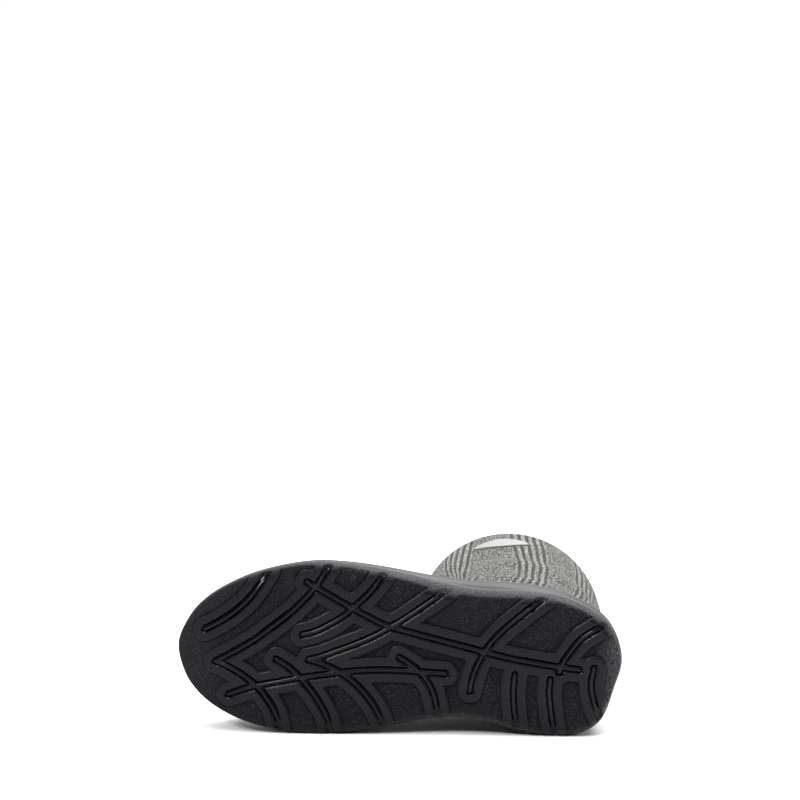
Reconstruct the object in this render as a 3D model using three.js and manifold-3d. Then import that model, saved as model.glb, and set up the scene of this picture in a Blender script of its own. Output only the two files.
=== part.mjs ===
// Tall knitted pull-on boot for the left foot, lying on its inner side.
// Millimetres. The boot is modelled standing: x runs from the heel's back to the toe,
// y runs to the outer side, z runs up from the tread. One group then lays it down.
import * as THREE from 'three';
import { mergeVertices } from 'three/addons/utils/BufferGeometryUtils.js';
import Manifold from 'manifold-3d';

const solids = await Manifold();
solids.setup();

// Turns rows of plain values into rows with named columns
function named(columns, rows) {
  return rows.map((row) => Object.fromEntries(columns.map((column, i) => [column, row[i]])));
}

// Main sizes
const soleLength = 283.5;
const outlinePoints = 56;
const pieceGap = 0.3;
const upperWall = 3.0;
const collarHeight = 402;
const seatDepth = 5;
const seatInset = 6.2;
const seatLip = 0.6;
const insoleRoom = 0.5;
const insolePlate = 4.5;

// Tread sizes
const treadDepth = 1.6;
const bandHalfWidth = 7.3;
const grooveHalfWidth = 2.9;
const grooveDepth = 2.6;
const cutterReach = 3;
const endSteps = 5;

// Greatest outline of the sole: widths to the outer and the inner side of the x axis,
// and how far the upper part of the side wall stands out beyond the lower part
const soleOutline = [
  { x: 3, outer: 24, inner: 2, outerLip: 0, innerLip: 0 },
  { x: 10, outer: 35.3, inner: 25, outerLip: 0, innerLip: 0 },
  { x: 22, outer: 43.3, inner: 34.6, outerLip: 0.2, innerLip: 0 },
  { x: 40, outer: 49.2, inner: 38.1, outerLip: 0.8, innerLip: 0 },
  { x: 60, outer: 50.8, inner: 37.4, outerLip: 1.8, innerLip: 0.8 },
  { x: 80, outer: 49.4, inner: 34.2, outerLip: 3.2, innerLip: 2.4 },
  { x: 100, outer: 48.4, inner: 33.8, outerLip: 3.2, innerLip: 3.2 },
  { x: 120, outer: 50.2, inner: 37.4, outerLip: 1.6, innerLip: 2.2 },
  { x: 140, outer: 53.0, inner: 43.4, outerLip: 0.4, innerLip: 0.8 },
  { x: 160, outer: 55.0, inner: 49.1, outerLip: 0, innerLip: 0 },
  { x: 180, outer: 55.6, inner: 52.8, outerLip: 0, innerLip: 0 },
  { x: 200, outer: 54.3, inner: 54.4, outerLip: 0, innerLip: 0 },
  { x: 220, outer: 49.4, inner: 53.9, outerLip: 0, innerLip: 0 },
  { x: 240, outer: 41.6, inner: 50.4, outerLip: 0, innerLip: 0 },
  { x: 256, outer: 32.2, inner: 44.6, outerLip: 0, innerLip: 0 },
  { x: 268, outer: 22.6, inner: 37.0, outerLip: 0, innerLip: 0 },
  { x: 277, outer: 11.0, inner: 27.0, outerLip: 0, innerLip: 0 },
];
const heelTip = { x: 0.4, y: 12 };
const toeTip = { x: soleLength, y: -8.5 };

// Rise of the tread above the ground: heel bevel, arch and toe spring
const treadRise = [
  { x: -10, rise: 7.5 },
  { x: 6, rise: 1.6 },
  { x: 14, rise: 0 },
  { x: 80, rise: 0 },
  { x: 112, rise: 1.6 },
  { x: 144, rise: 0 },
  { x: 200, rise: 0 },
  { x: 220, rise: 1.2 },
  { x: 240, rise: 4.2 },
  { x: 262, rise: 9.8 },
  { x: 290, rise: 19.5 },
];

// Height of the side wall's rim above the local tread
const rimHeight = [
  { x: 0, height: 38 },
  { x: 60, height: 38 },
  { x: 100, height: 36 },
  { x: 140, height: 31 },
  { x: 180, height: 27.5 },
  { x: 220, height: 25.5 },
  { x: 290, height: 25 },
];

// Side wall from the tread up to the parting line: height above the tread, inset
const lowerWall = [
  { up: 0, inset: 6.4 },
  { up: 0.9, inset: 3.7 },
  { up: 3.4, inset: 1.5 },
  { up: 8.5, inset: 0.1 },
  { up: 14.6, inset: 0 },
];

// Side wall above the parting line: share of the way to the rim, inset, share of the lip
const upperWallRows = [
  { share: 0, inset: 1.1, lip: 0.1 },
  { share: 0.14, inset: 0.3, lip: 0.5 },
  { share: 0.84, inset: 0.7, lip: 1 },
  { share: 1, inset: 3.2, lip: 0.9 },
];
const partingHeight = 15.4;

// Centre lines of the grooved bands in the tread, heel to toe
const bands = [
  { name: 'long spine', line: [[27, 5.8], [45, 6.3], [67, 7.7], [88, 10.3], [112, 13.7], [128, 16.2],
    [150, 20], [163, 24.6], [173, 28.6], [183, 33], [193, 37.4], [203, 41.8]] },
  { name: 'inner spine', line: [[110, -6.3], [122, -6.8], [133, -7.1], [147, -8], [162, -10],
    [173, -12.2], [183, -14.6], [195, -17.6], [204, -20], [215, -23.4], [228, -27.6], [238, -31.6],
    [246, -35.6]] },
  { name: 'heel outer', line: [[-3, 49], [11, 37.5], [20, 31.7], [28, 25], [34.2, 16], [38.4, 7.5],
    [39.2, 3]] },
  { name: 'waist outer', line: [[43, 59], [52.5, 49.2], [61.7, 40.6], [70, 32.5], [78, 24], [85, 14.6],
    [89, 6.4], [91.8, -1.7], [93.3, -9], [93.7, -15.2]] },
  { name: 'heel inner', line: [[18, 7.6], [18.6, -1.7], [16.8, -10], [13.2, -18.5], [7, -30]] },
  { name: 'heel middle', line: [[44.2, -2.4], [44.2, -10], [42.6, -18.4], [40.8, -26.6], [35.6, -43]] },
  { name: 'heel front', line: [[66.7, -2], [66.7, -10], [65.8, -18.4], [64.2, -26.6], [60, -44]] },
  { name: 'arch', line: [[140, 0.8], [134, -2], [128.3, -5.4], [122, -11], [117, -18.2], [113.6, -28],
    [110, -42]] },
  { name: 'ball outer', line: [[106, 55], [115, 46.4], [123.3, 39], [133.3, 30.4], [143.3, 22.4],
    [150, 17.5], [158, 12], [168.3, 6.2], [180, 0.4], [188.3, -3.8], [197, -7]] },
  { name: 'ball inner', line: [[197, -7], [190, -8.3], [181.7, -10.6], [173.3, -14.2], [165, -19.3],
    [158.3, -25.2], [152.5, -31.6], [144, -46]] },
  { name: 'forefoot outer', line: [[151, 62], [154.6, 53.6], [158.6, 46.4], [165, 37], [172.5, 28.7],
    [178.4, 22.4], [186, 16.6], [195, 11], [202.5, 8.3]] },
  { name: 'forefoot inner', line: [[217.5, -9.2], [209, -13.2], [201.5, -18.6], [193.3, -26.2],
    [186.7, -34], [181.7, -42], [177, -58]] },
  { name: 'tip outer', line: [[188, 64], [190, 55], [193.3, 47], [197.6, 39.2], [203.3, 31],
    [211.7, 21], [223.3, 9.8], [233.3, 0.8], [245, -8], [256.8, -16]] },
  { name: 'tip inner', line: [[256.8, -16], [248.3, -18.2], [238.3, -22], [228.6, -27.6],
    [221.4, -34], [215, -42.4], [209, -60]] },
  { name: 'toe', line: [[265.8, 3.3], [256.7, 9.4], [247, 17.6], [238.5, 27.4], [233, 36.8],
    [229, 45.4], [224, 62]] },
];

// Upper, row by row up the boot: back and front ends of each row with their heights,
// half widths to the outer and inner side, the row's middle line in y, how far the row has
// turned from the shape of the sole to the oval of the shaft, and how far the soft shaft
// has settled on the ground, where its inner side lies flat and its oval leans with the roll
const upperRows = named(
  ['backX', 'backZ', 'frontX', 'frontZ', 'outer', 'inner', 'midY', 'oval', 'lain'], [
    [4.6, 48, 277.2, 48.5, 50.6, 50.6, 2, 0, 0],
    [3.6, 57, 276, 57.5, 49.6, 49.6, 2, 0.03, 0],
    [3.4, 66, 271, 67, 47.6, 47.6, 2.5, 0.08, 0],
    [4.4, 75, 259, 75.5, 45, 45, 3, 0.16, 0],
    [6.2, 84, 238, 83, 42.4, 42.4, 3.5, 0.28, 0],
    [8.4, 94, 213, 92, 40.4, 40, 4, 0.42, 0],
    [10.2, 106, 187, 104, 39.2, 38, 4, 0.57, 0],
    [11.4, 120, 164, 119, 39.2, 37, 3.4, 0.72, 0.02],
    [11.6, 136, 146, 137, 40.2, 36.4, 2.2, 0.85, 0.05],
    [11, 155, 135, 158, 42.2, 35.6, 0.4, 0.94, 0.1],
    [9.6, 178, 131, 183, 45.4, 34.2, -2.4, 1, 0.2],
    [7, 208, 131.6, 213, 50.2, 31.4, -6.6, 1, 0.36],
    [3.6, 244, 134.4, 248, 56.4, 27.6, -11.6, 1, 0.55],
    [0.6, 286, 138.6, 289, 63, 23.6, -16.8, 1, 0.76],
    [-1.4, 332, 142.8, 334, 69, 20.2, -21.4, 1, 0.92],
    [-2.4, 371, 145.4, 371.5, 72.6, 18.2, -24, 1, 1],
    [-2.6, 400, 146.4, 400, 73.8, 17.4, -24.9, 1, 1],
  ]);
const lainFlatness = 0.45;

// Badge on the outer side below the collar
const badge = { alongX: 84, up: 330, halfWidth: 21, halfHeight: 20, thick: 1.4, bevel: 0.5, roundness: 1.5 };

// Pose on the ground: the boot lies on its inner side
const lyingRoll = 6.0;
const lyingTilt = 0;
const clothOverGround = 0.1;

function lookUp(table, x, column) {
  let i = 0;
  while (i < table.length - 2 && x > table[i + 1].x) i += 1;
  const share = THREE.MathUtils.clamp((x - table[i].x) / (table[i + 1].x - table[i].x), 0, 1);
  return THREE.MathUtils.lerp(table[i][column], table[i + 1][column], share);
}

// Closed outline curve through the table, resampled by length, starting at the heel tip
// and running along the outer side to the toe
function makeOutline(count) {
  const knots = [new THREE.Vector3(heelTip.x, heelTip.y, 0)];
  for (const row of soleOutline) knots.push(new THREE.Vector3(row.x, row.outer, 0));
  knots.push(new THREE.Vector3(toeTip.x, toeTip.y, 0));
  for (const row of [...soleOutline].reverse()) knots.push(new THREE.Vector3(row.x, -row.inner, 0));
  const curve = new THREE.CatmullRomCurve3(knots, true, 'centripetal');
  curve.arcLengthDivisions = 1200;
  return curve.getSpacedPoints(count).slice(0, count);
}

const outline = makeOutline(outlinePoints);
const outlineMinX = Math.min(...outline.map((p) => p.x));
const outlineMaxX = Math.max(...outline.map((p) => p.x));
const toeIndex = outline.findIndex((p) => p.x === outlineMaxX);

// Outward normals of the outline
const outlineNormals = outline.map((p, i) => {
  const before = outline[(i + outlinePoints - 1) % outlinePoints];
  const after = outline[(i + 1) % outlinePoints];
  const run = new THREE.Vector2(after.x - before.x, after.y - before.y).normalize();
  return new THREE.Vector2(-run.y, run.x);
});

function lipAt(i) {
  const outer = i <= toeIndex;
  return lookUp(soleOutline, outline[i].x, outer ? 'outerLip' : 'innerLip');
}

// The outline moved in by a distance, with a share of the wall's lip moved out
function insetOutline(distance, lip = 0) {
  return outline.map((p, i) => {
    const out = Math.max(lipAt(i), 0) * lip - distance;
    return new THREE.Vector2(p.x + outlineNormals[i].x * out, p.y + outlineNormals[i].y * out);
  });
}

// Mesh from rings of equal length, first ring at the bottom, with flat or spine caps
class RingBody {
  constructor() {
    this.places = [];
    this.faces = [];
  }

  addRing(points) {
    const start = this.places.length;
    for (const p of points) this.places.push(p);
    return { start, count: points.length };
  }

  // Joins two rings; rings run clockwise seen from above and the second lies above
  join(lower, upper) {
    for (let i = 0; i < lower.count; i += 1) {
      const next = (i + 1) % lower.count;
      const a = lower.start + i;
      const b = lower.start + next;
      const c = upper.start + next;
      const d = upper.start + i;
      this.faces.push([a, c, b], [a, d, c]);
    }
  }

  cap(ring, up) {
    const flat = [];
    for (let i = 0; i < ring.count; i += 1) {
      const p = this.places[ring.start + i];
      flat.push(new THREE.Vector2(p.x, p.y));
    }
    for (const [a, b, c] of THREE.ShapeUtils.triangulateShape(flat, [])) {
      const turn = (flat[b].x - flat[a].x) * (flat[c].y - flat[a].y)
        - (flat[c].x - flat[a].x) * (flat[b].y - flat[a].y);
      const keep = (turn > 0) === up;
      const [s, m, e] = [ring.start + a, ring.start + b, ring.start + c];
      this.faces.push(keep ? [s, m, e] : [s, e, m]);
    }
  }

  // Closes a small ring with a fan of faces from its first point
  fan(ring, up) {
    for (let i = 1; i < ring.count - 1; i += 1) {
      const [a, b, c] = [ring.start, ring.start + i, ring.start + i + 1];
      this.faces.push(up ? [a, c, b] : [a, b, c]);
    }
  }

  geometry() {
    const shape = new THREE.BufferGeometry();
    const values = new Float32Array(this.places.length * 3);
    this.places.forEach((p, i) => p.toArray(values, i * 3));
    shape.setAttribute('position', new THREE.BufferAttribute(values, 3));
    shape.setIndex(this.faces.flat());
    return mergeVertices(shape, 1e-4);
  }
}

function toSolid(shape) {
  const merged = mergeVertices(shape, 1e-4);
  return new solids.Manifold(new solids.Mesh({
    numProp: 3,
    vertProperties: new Float32Array(merged.attributes.position.array),
    triVerts: new Uint32Array(merged.index.array),
  }));
}

function toGeometry(solid) {
  const mesh = solid.getMesh();
  const shape = new THREE.BufferGeometry();
  const places = new Float32Array(mesh.numVert * 3);
  for (let i = 0; i < mesh.numVert; i += 1) {
    for (let k = 0; k < 3; k += 1) places[i * 3 + k] = mesh.vertProperties[i * mesh.numProp + k];
  }
  shape.setAttribute('position', new THREE.BufferAttribute(places, 3));
  shape.setIndex(Array.from(mesh.triVerts));
  return shape;
}

// Outline of a band of even width with round ends along a smooth line
function strokeLoop(line, halfWidth, step) {
  const knots = line.map(([x, y]) => new THREE.Vector3(x, y, 0));
  const curve = new THREE.CatmullRomCurve3(knots, false, 'centripetal');
  const count = Math.max(3, Math.round(curve.getLength() / step));
  const left = [];
  const right = [];
  for (let i = 0; i <= count; i += 1) {
    const p = curve.getPointAt(i / count);
    const run = curve.getTangentAt(i / count);
    left.push(new THREE.Vector2(p.x - run.y * halfWidth, p.y + run.x * halfWidth));
    right.push(new THREE.Vector2(p.x + run.y * halfWidth, p.y - run.x * halfWidth));
  }
  const endArc = (at) => {
    const p = curve.getPointAt(at);
    const run = curve.getTangentAt(at).multiplyScalar(at === 0 ? -1 : 1);
    const turn = Math.atan2(run.y, run.x);
    const arc = [];
    for (let k = 1; k < endSteps; k += 1) {
      const angle = turn + Math.PI / 2 - (Math.PI * k) / endSteps;
      arc.push(new THREE.Vector2(p.x + Math.cos(angle) * halfWidth, p.y + Math.sin(angle) * halfWidth));
    }
    return arc;
  };
  return [...left, ...endArc(1), ...right.reverse(), ...endArc(0)];
}

// Upright prism on a clockwise loop
function prism(loop, bottom, top) {
  const body = new RingBody();
  const low = body.addRing(loop.map((p) => new THREE.Vector3(p.x, p.y, bottom)));
  const high = body.addRing(loop.map((p) => new THREE.Vector3(p.x, p.y, top)));
  body.join(low, high);
  body.cap(low, false);
  body.cap(high, true);
  return toSolid(body.geometry());
}

function joinAll(list) {
  return list.reduce((sum, next) => sum.add(next));
}

const rimAt = (x) => lookUp(rimHeight, x, 'height');
const riseAt = (x) => lookUp(treadRise, x, 'rise');

// Ring of points drawn in to the middle line of the sole, which closes a plate
const spine = { start: 36, end: 228, step: 12, midY: 7, slope: -0.04 };
function spineRing(height) {
  return outline.map((p) => {
    const x = Math.round(THREE.MathUtils.clamp(p.x, spine.start, spine.end) / spine.step) * spine.step;
    return new THREE.Vector3(x, spine.midY + x * spine.slope, height(x));
  });
}

// Sole before the rise is applied: tread flat at zero
function flatSole() {
  const body = new RingBody();
  const ringAt = (inset, lip, height) => body.addRing(insetOutline(inset, lip)
    .map((p) => new THREE.Vector3(p.x, p.y, height(p.x))));
  const rings = lowerWall.map((row) => ringAt(row.inset, 0, () => row.up));
  for (const row of upperWallRows) {
    rings.push(ringAt(row.inset, row.lip, (x) => partingHeight + (rimAt(x) - partingHeight) * row.share));
  }
  rings.push(ringAt(seatInset, seatLip, rimAt));
  rings.push(ringAt(seatInset, seatLip, (x) => rimAt(x) - seatDepth));
  rings.push(body.addRing(spineRing((x) => rimAt(x) - seatDepth)));
  for (let i = 1; i < rings.length; i += 1) body.join(rings[i - 1], rings[i]);
  body.cap(rings[0], false);
  return dropSlivers(body.geometry());
}

// Removes faces that lost a side when points were merged
function dropSlivers(shape) {
  const index = shape.index.array;
  const kept = [];
  for (let i = 0; i < index.length; i += 3) {
    const [a, b, c] = [index[i], index[i + 1], index[i + 2]];
    if (a !== b && b !== c && a !== c) kept.push(a, b, c);
  }
  shape.setIndex(kept);
  return shape;
}

// Cuts every face along the planes x = cut, so that a bend at those lines stays exact
function splitAlongX(shape, cuts) {
  const places = Array.from(shape.attributes.position.array);
  let faces = [];
  const index = shape.index.array;
  for (let i = 0; i < index.length; i += 3) faces.push([index[i], index[i + 1], index[i + 2]]);
  const near = 1e-3;
  for (const cut of cuts) {
    for (let i = 0; i < places.length; i += 3) {
      if (Math.abs(places[i] - cut) < near) places[i] = cut;
    }
    const made = new Map();
    const onEdge = (a, b) => {
      const key = a < b ? `${a}_${b}` : `${b}_${a}`;
      if (!made.has(key)) {
        const [s, e] = a < b ? [a, b] : [b, a];
        const share = (cut - places[s * 3]) / (places[e * 3] - places[s * 3]);
        made.set(key, places.length / 3);
        for (let k = 0; k < 3; k += 1) {
          places.push(places[s * 3 + k] + (places[e * 3 + k] - places[s * 3 + k]) * share);
        }
        places[places.length - 3] = cut;
      }
      return made.get(key);
    };
    const next = [];
    for (const face of faces) {
      const side = face.map((v) => Math.sign(places[v * 3] - cut));
      if (!(side.includes(1) && side.includes(-1))) {
        next.push(face);
      } else if (side.includes(0)) {
        const at = side.indexOf(0);
        const [a, b, c] = [face[at], face[(at + 1) % 3], face[(at + 2) % 3]];
        const middle = onEdge(b, c);
        next.push([a, b, middle], [a, middle, c]);
      } else {
        const lone = side.findIndex((s) => side.filter((o) => o === s).length === 1);
        const [a, b, c] = [face[lone], face[(lone + 1) % 3], face[(lone + 2) % 3]];
        const ab = onEdge(a, b);
        const ca = onEdge(c, a);
        next.push([a, ab, ca], [ab, b, c], [ab, c, ca]);
      }
    }
    faces = next;
  }
  const split = new THREE.BufferGeometry();
  split.setAttribute('position', new THREE.BufferAttribute(new Float32Array(places), 3));
  split.setIndex(faces.flat());
  return split;
}

function bendByRise(shape) {
  const split = splitAlongX(shape, treadRise.slice(1, -1).map((row) => row.x));
  const place = split.attributes.position;
  for (let i = 0; i < place.count; i += 1) place.setZ(i, place.getZ(i) + riseAt(place.getX(i)));
  return split;
}

// Tread: everything but the bands sinks in, then a groove runs down each band
function makeSole() {
  const bandStep = 10;
  const raised = joinAll(bands.map((band) => prism(
    strokeLoop(band.line, bandHalfWidth, bandStep), -2 * cutterReach, treadDepth + cutterReach)));
  const slabLoop = [[-20, -80], [-20, 80], [soleLength + 20, 80], [soleLength + 20, -80]]
    .map(([x, y]) => new THREE.Vector2(x, y));
  const pockets = prism(slabLoop, -cutterReach, treadDepth).subtract(raised);
  const grooves = joinAll(bands.map((band) => prism(
    strokeLoop(band.line, grooveHalfWidth, bandStep), -cutterReach, grooveDepth)));
  const carved = toSolid(flatSole()).subtract(pockets).subtract(grooves);
  return bendByRise(toGeometry(carved));
}

// Place of outline point i on the shaft's oval, as an angle from the back to the front
const shaftTurn = outline.map((p) => {
  const along = [
    { x: 0, share: 0 }, { x: 30, share: 0.235 }, { x: 60, share: 0.455 }, { x: 90, share: 0.62 },
    { x: 120, share: 0.74 }, { x: 160, share: 0.85 }, { x: 200, share: 0.92 }, { x: 240, share: 0.967 },
    { x: soleLength, share: 1 },
  ];
  const share = THREE.MathUtils.clamp(lookUp(along, p.x, 'share'), 0, 1);
  return Math.acos(1 - 2 * share);
});

// Outline of the foot's outer skin as shares: along from back to front, across from -1 to 1
const skinOutline = insetOutline(seatInset, seatLip);
const skinBack = Math.min(...skinOutline.map((p) => p.x));
const skinFront = Math.max(...skinOutline.map((p) => p.x));
const skinHalf = 50;
const middleAt = (x) => lookUp([{ x: 0, y: 9 }, { x: 60, y: 8 }, { x: 130, y: 6.4 }, { x: 200, y: 0.2 },
  { x: soleLength, y: -9 }], x, 'y');

// Lets what would sink under the ground lie flat on it, in the lying pose
const lyingUp = new THREE.Vector2(
  Math.sin(THREE.MathUtils.degToRad(lyingRoll)), Math.cos(THREE.MathUtils.degToRad(lyingRoll)));
const groundLevel = Math.min(...outline.map((p) => p.x * lyingUp.x + p.y * lyingUp.y)) + clothOverGround;
function settle(p) {
  const under = Math.max(0, groundLevel - p.x * lyingUp.x - p.y * lyingUp.y);
  return p.set(p.x + under * lyingUp.x, p.y + under * lyingUp.y, p.z);
}

function upperRing(row) {
  const lean = THREE.MathUtils.degToRad(lyingRoll) * row.lain;
  const length = row.frontX - row.backX;
  return skinOutline.map((p, i) => {
    const side = i <= toeIndex ? 1 : -1;
    const half = side > 0 ? row.outer : row.inner;
    const footAlong = (p.x - skinBack) / (skinFront - skinBack);
    const footAcross = (p.y - middleAt(p.x)) / skinHalf;
    const shaftAlong = (1 - Math.cos(shaftTurn[i])) / 2;
    const flatter = side > 0 ? 1 : 1 - lainFlatness * row.lain;
    const shaftAcross = side * Math.sin(shaftTurn[i]) ** flatter;
    const along = THREE.MathUtils.lerp(footAlong, shaftAlong, row.oval);
    const x = row.backX + length * along;
    const footY = middleAt(x) + footAcross * half;
    const shaftY = row.midY + shaftAcross * half - (along - 0.5) * length * Math.tan(lean);
    return settle(new THREE.Vector3(
      x + shaftAcross * half * Math.sin(lean) * row.oval,
      THREE.MathUtils.lerp(footY, shaftY, row.oval),
      row.backZ + (row.frontZ - row.backZ) * along,
    ));
  });
}

// Rows of the upper's outer skin: a straight edge down in the sole's seat, then the table
function upperSkin() {
  const edge = insetOutline(seatInset + pieceGap, seatLip);
  const edgeAt = (lift) => edge.map((p) => new THREE.Vector3(p.x, p.y, rimAt(p.x) + riseAt(p.x) + lift));
  return [edgeAt(pieceGap - seatDepth), edgeAt(pieceGap), ...upperRows.map(upperRing)];
}

// Skin moved in along its own normals by the wall
function insideOf(rows, wall) {
  return rows.map((ring, r) => ring.map((p, i) => {
    const count = ring.length;
    const along = new THREE.Vector3().subVectors(ring[(i + 1) % count], ring[(i + count - 1) % count]);
    const below = rows[Math.max(r - 1, 0)][i];
    const above = rows[Math.min(r + 1, rows.length - 1)][i];
    const up = new THREE.Vector3().subVectors(above, below);
    const out = new THREE.Vector3().crossVectors(up, along).normalize();
    if (r < 2 || r === rows.length - 1) out.setZ(0).normalize();
    return p.clone().addScaledVector(out, -wall);
  }));
}

function makeUpper() {
  const outerRows = upperSkin();
  const innerRows = insideOf(outerRows, upperWall);
  const top = outerRows.length - 1;
  const crown = (share) => outerRows[top].map((p, i) => p.clone().lerp(innerRows[top][i], share)
    .setZ(collarHeight));
  const body = new RingBody();
  const loops = [...outerRows, crown(0.25), crown(0.75), ...innerRows.reverse()]
    .map((ring) => body.addRing(ring));
  for (let i = 1; i < loops.length; i += 1) body.join(loops[i - 1], loops[i]);
  body.join(loops[loops.length - 1], loops[0]);
  return body.geometry();
}

// Patch on the outer side of the shaft, cut from the upper's own skin
function makeBadge() {
  const rows = upperSkin();
  const column = (i, up) => {
    let r = 2;
    while (rows[r + 1][i].z < up) r += 1;
    const share = (up - rows[r][i].z) / (rows[r + 1][i].z - rows[r][i].z);
    return rows[r][i].clone().lerp(rows[r + 1][i], share);
  };
  const onSkin = (x, up) => {
    let i = 1;
    while (column(i + 1, up).x < x) i += 1;
    const [a, b] = [column(i, up), column(i + 1, up)];
    const place = a.clone().lerp(b, (x - a.x) / (b.x - a.x));
    const out = new THREE.Vector3(a.y - b.y, b.x - a.x, 0).normalize();
    return { place, out };
  };
  const rimPoints = 28;
  const body = new RingBody();
  const ringAt = (size, lift) => body.addRing(Array.from({ length: rimPoints }, (_, k) => {
    const angle = (-2 * Math.PI * k) / rimPoints;
    const power = 2 / badge.roundness;
    const bend = (value) => Math.sign(value) * Math.abs(value) ** power;
    const x = badge.alongX + badge.halfWidth * size * bend(Math.cos(angle));
    const up = badge.up - badge.halfHeight * size * bend(Math.sin(angle));
    const { place, out } = onSkin(x, up);
    return place.addScaledVector(out, lift);
  }));
  const low = pieceGap;
  const high = pieceGap + badge.thick;
  const middle = 0.02;
  const half = 0.5;
  const rings = [
    ringAt(middle, low), ringAt(half, low), ringAt(1, low),
    ringAt(1, high - badge.bevel), ringAt(1 - badge.bevel / badge.halfWidth, high),
    ringAt(half, high), ringAt(middle, high),
  ];
  for (let i = 1; i < rings.length; i += 1) body.join(rings[i - 1], rings[i]);
  body.fan(rings[0], false);
  body.fan(rings[rings.length - 1], true);
  return dropSlivers(body.geometry());
}

// Insole: a plate on the seat, inside the upper
function makeInsole() {
  const inset = seatInset + pieceGap + upperWall + insoleRoom;
  const low = (x) => rimAt(x) + riseAt(x) - seatDepth + pieceGap;
  const body = new RingBody();
  const ringAt = (more, up) => body.addRing(insetOutline(inset + more, seatLip)
    .map((p) => new THREE.Vector3(p.x, p.y, low(p.x) + up)));
  const middle = (up) => body.addRing(spineRing((x) => low(x) + up));
  const edge = 1;
  const rings = [middle(0), ringAt(edge, 0), ringAt(0, edge), ringAt(0, insolePlate - edge),
    ringAt(edge, insolePlate), middle(insolePlate)];
  for (let i = 1; i < rings.length; i += 1) body.join(rings[i - 1], rings[i]);
  return dropSlivers(body.geometry());
}

const group = new THREE.Group();
const boot = new THREE.Group();
boot.name = 'boot_standing';
group.add(boot);

function addPiece(name, shape, color, roughness) {
  const flat = shape.toNonIndexed();
  flat.computeVertexNormals();
  const piece = new THREE.Mesh(flat, new THREE.MeshStandardMaterial({ color, roughness, metalness: 0 }));
  piece.name = name;
  boot.add(piece);
  return piece;
}

addPiece('unit_sole', makeSole(), 0x2c2b2f, 0.62);
addPiece('knit_upper', makeUpper(), 0x8f908e, 0.95);
addPiece('insole', makeInsole(), 0x77777a, 0.95);
addPiece('side_badge', makeBadge(), 0xc4c4c2, 0.7);

// Lays the boot down: toe to -X, sole to -Y, outer side up
boot.matrixAutoUpdate = false;
const lay = new THREE.Matrix4().makeBasis(
  new THREE.Vector3(-1, 0, 0), new THREE.Vector3(0, 0, 1), new THREE.Vector3(0, 1, 0));
const roll = new THREE.Matrix4().makeRotationY(THREE.MathUtils.degToRad(lyingRoll));
const tilt = new THREE.Matrix4().makeRotationX(THREE.MathUtils.degToRad(lyingTilt));
const pose = tilt.clone().multiply(roll).multiply(lay);

// Sets the lowest point on the ground and the middle of the box over the origin
const box = new THREE.Box3();
for (const piece of boot.children) {
  box.union(new THREE.Box3().setFromBufferAttribute(
    piece.geometry.attributes.position.clone().applyMatrix4(pose)));
}
const middle = box.getCenter(new THREE.Vector3());
const onGround = new THREE.Matrix4().makeTranslation(-middle.x, -middle.y, -box.min.z);
boot.matrix.copy(onGround.multiply(pose));

export default group;
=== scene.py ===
import math
import bpy
import numpy as np
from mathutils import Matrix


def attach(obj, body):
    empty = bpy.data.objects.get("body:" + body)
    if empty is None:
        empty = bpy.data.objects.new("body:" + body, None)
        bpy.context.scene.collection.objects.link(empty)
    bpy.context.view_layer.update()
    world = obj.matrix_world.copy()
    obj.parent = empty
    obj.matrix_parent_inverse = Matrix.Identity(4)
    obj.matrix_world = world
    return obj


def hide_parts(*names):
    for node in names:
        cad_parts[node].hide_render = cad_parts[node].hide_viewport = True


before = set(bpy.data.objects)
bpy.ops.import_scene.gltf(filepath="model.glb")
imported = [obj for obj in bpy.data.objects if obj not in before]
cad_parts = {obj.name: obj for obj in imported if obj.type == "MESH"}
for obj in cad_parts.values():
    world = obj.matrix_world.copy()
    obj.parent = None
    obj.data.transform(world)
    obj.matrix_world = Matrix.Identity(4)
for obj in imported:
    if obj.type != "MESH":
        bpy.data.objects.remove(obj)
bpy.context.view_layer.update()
print("frame loaded")

# camera: in front of the sole, a little above it, as in the photograph
cameraSet = {"place": (0.0825, -1.5454, 0.2536), "azimuth": 3.414, "down": 1.793, "lens": 96.75,
             "sensor": 36, "far": 20}


def addObject(name, data):
    made = bpy.data.objects.new(name, data)
    bpy.context.scene.collection.objects.link(made)
    return made


def makeCamera(settings):
    data = bpy.data.cameras.new("camera")
    data.lens = settings["lens"]
    data.sensor_width = settings["sensor"]
    data.clip_end = settings["far"]
    camera = addObject("camera", data)
    camera.location = settings["place"]
    tilt, turn = math.radians(90 - settings["down"]), math.radians(settings["azimuth"])
    camera.rotation_euler = (tilt, 0, turn)
    bpy.context.scene.camera = camera


makeCamera(cameraSet)
print("camera placed")


# one socket of a material; sums and products of these add Math nodes
class Value:
    def __init__(self, paint, socket):
        self.paint = paint
        self.socket = socket

    def maths(self, operation, *others):
        inputs = dict(enumerate([self, *others]))
        return self.paint.node("Math", {"operation": operation}, inputs)

    def __add__(self, other):
        return self.maths("ADD", other)

    def __sub__(self, other):
        return self.maths("SUBTRACT", other)

    def __rsub__(self, other):
        return (self * -1) + other

    def __mul__(self, other):
        return self.maths("MULTIPLY", other)

    __radd__, __rmul__ = __add__, __mul__

    def largest(self, other):
        return self.maths("MAXIMUM", other)

    def wave(self):
        return self.maths("SINE")

    def size(self):
        return self.maths("ABSOLUTE")

    def remainder(self, other):
        return self.maths("FLOORED_MODULO", other)

    # 0 up to the low value, 1 from the high one, a smooth step between them
    def between(self, low, high):
        inputs = {"Value": self, "From Min": low, "From Max": high}
        return self.paint.node("MapRange", {"interpolation_type": "SMOOTHSTEP"}, inputs)


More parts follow.
